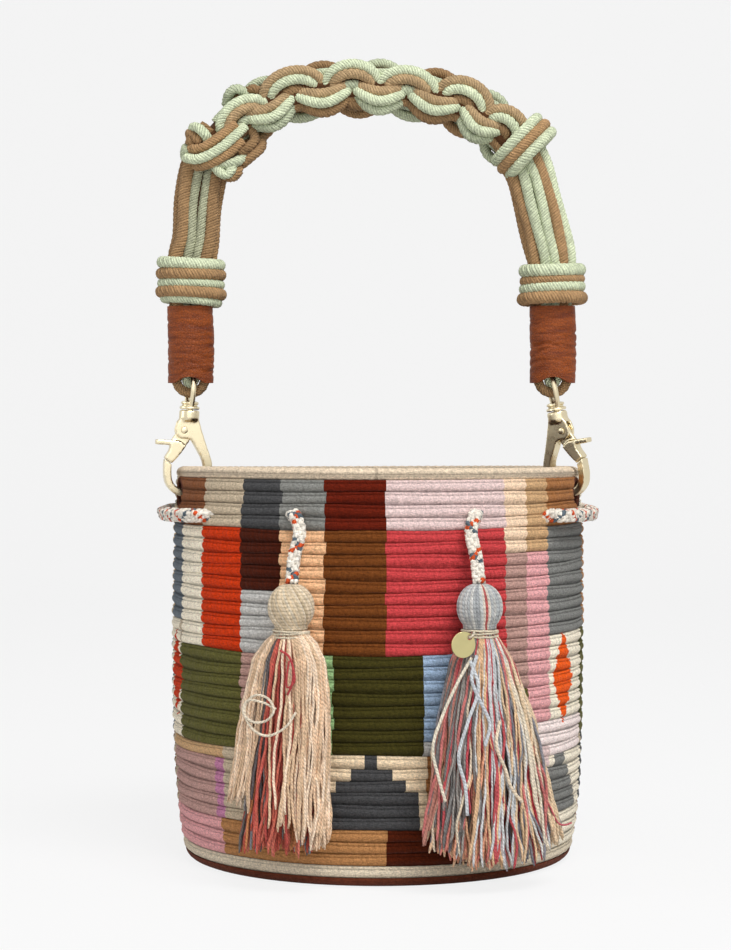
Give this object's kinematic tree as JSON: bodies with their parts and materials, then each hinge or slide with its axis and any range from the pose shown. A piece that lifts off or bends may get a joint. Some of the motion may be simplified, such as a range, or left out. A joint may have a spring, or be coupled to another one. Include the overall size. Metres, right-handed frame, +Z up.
{
  "type": "crocheted bucket bag",
  "caption": "Round ribbed crochet bucket bag with a tasselled drawstring and an upright knotted rope handle that swings on swivel trigger clasps hooked below its rim.",
  "frame": {"origin": "middle of the flat base, on the ground", "axes": "+Z up, -Y towards the front with the tassels, +X to the right seen from the front"},
  "size_m": [0.198, 0.2093, 0.3548],
  "materials": {
    "crochet": "ribbed crochet in colour blocks",
    "beige_yarn": "crochet yarn",
    "braid": "braided cord",
    "mixed_yarn": "loose yarn",
    "rope": "twisted mint and brown rope",
    "leather": "creased leather",
    "pale_gold": "polished plating",
    "spring_steel": "plain wire"
  },
  "bodies": {
    "bag": {"crochet_body": "crochet", "rim_binding": "beige_yarn", "drawstring": "braid", "left_tassel_head": "beige_yarn", "left_tassel_tie": "beige_yarn", "left_tassel_skirt": "beige_yarn", "right_tassel_head": "mixed_yarn", "right_tassel_tie": "beige_yarn", "right_tassel_skirt": "mixed_yarn", "charm_thread": "beige_yarn"},
    "charm": {"charm_disc": "pale_gold"},
    "left_eye": {"left_eye": "pale_gold"},
    "right_eye": {"right_eye": "pale_gold"},
    "handle": {"handle_cords": "rope", "left_collar": "rope", "right_collar": "rope", "left_ferrule": "leather", "right_ferrule": "leather"},
    "left_hook": {"left_hook": "pale_gold", "left_gate_pin": "pale_gold", "left_gate_spring": "spring_steel"},
    "right_hook": {"right_hook": "pale_gold", "right_gate_pin": "pale_gold", "right_gate_spring": "spring_steel"},
    "left_gate": {"left_gate": "pale_gold"},
    "right_gate": {"right_gate": "pale_gold"}
  },
  "joints": [
    {"name": "left_clasp_swing", "type": "hinge", "parent": "bag", "child": "left_eye", "pos_m": [-0.0852, -0.0208, 0.163], "axis": [1, 0, 0], "range_deg": [-18, 18]},
    {"name": "right_clasp_swing", "type": "hinge", "parent": "bag", "child": "right_eye", "pos_m": [0.0856, -0.0208, 0.163], "axis": [1, 0, 0], "range_deg": [-18, 18]},
    {"name": "handle_fold", "type": "hinge", "parent": "left_eye", "child": "handle", "pos_m": [-0.08279, -0.0208, 0.209], "axis": [1, 0, 0], "range_deg": [-20, 20]},
    {"name": "left_swivel", "type": "hinge", "parent": "left_eye", "child": "left_hook", "pos_m": [-0.08337, -0.0208, 0.19795], "axis": [0.0523, 0, 0.9986], "range_deg": [-20, 20]},
    {"name": "right_swivel", "type": "hinge", "parent": "right_eye", "child": "right_hook", "pos_m": [0.07922, -0.0208, 0.19741], "axis": [-0.1822, 0, 0.9833], "range_deg": [-1, 34]},
    {"name": "left_gate_open", "type": "hinge", "parent": "left_hook", "child": "left_gate", "pos_m": [-0.08589, -0.02133, 0.19067], "axis": [0.2416, -0.9703, -0.0127], "range_deg": [0, 8], "stiffness_Nm_per_rad": 0.06, "springref_deg": -20.05},
    {"name": "right_gate_open", "type": "hinge", "parent": "right_hook", "child": "right_gate", "pos_m": [0.08225, -0.02218, 0.19045], "axis": [0.6188, 0.7771, 0.1147], "range_deg": [0, 8], "stiffness_Nm_per_rad": 0.06, "springref_deg": -20.05},
    {"name": "charm_swing", "type": "hinge", "parent": "bag", "child": "charm", "pos_m": [0.03744, -0.10454, 0.1064], "axis": [-0.645, -0.2899, 0.7071], "range_deg": [0, 45]}
  ],
  "couplings": [
    {"joint": "right_clasp_swing", "follows": "left_clasp_swing", "ratio": 1}
  ]
}
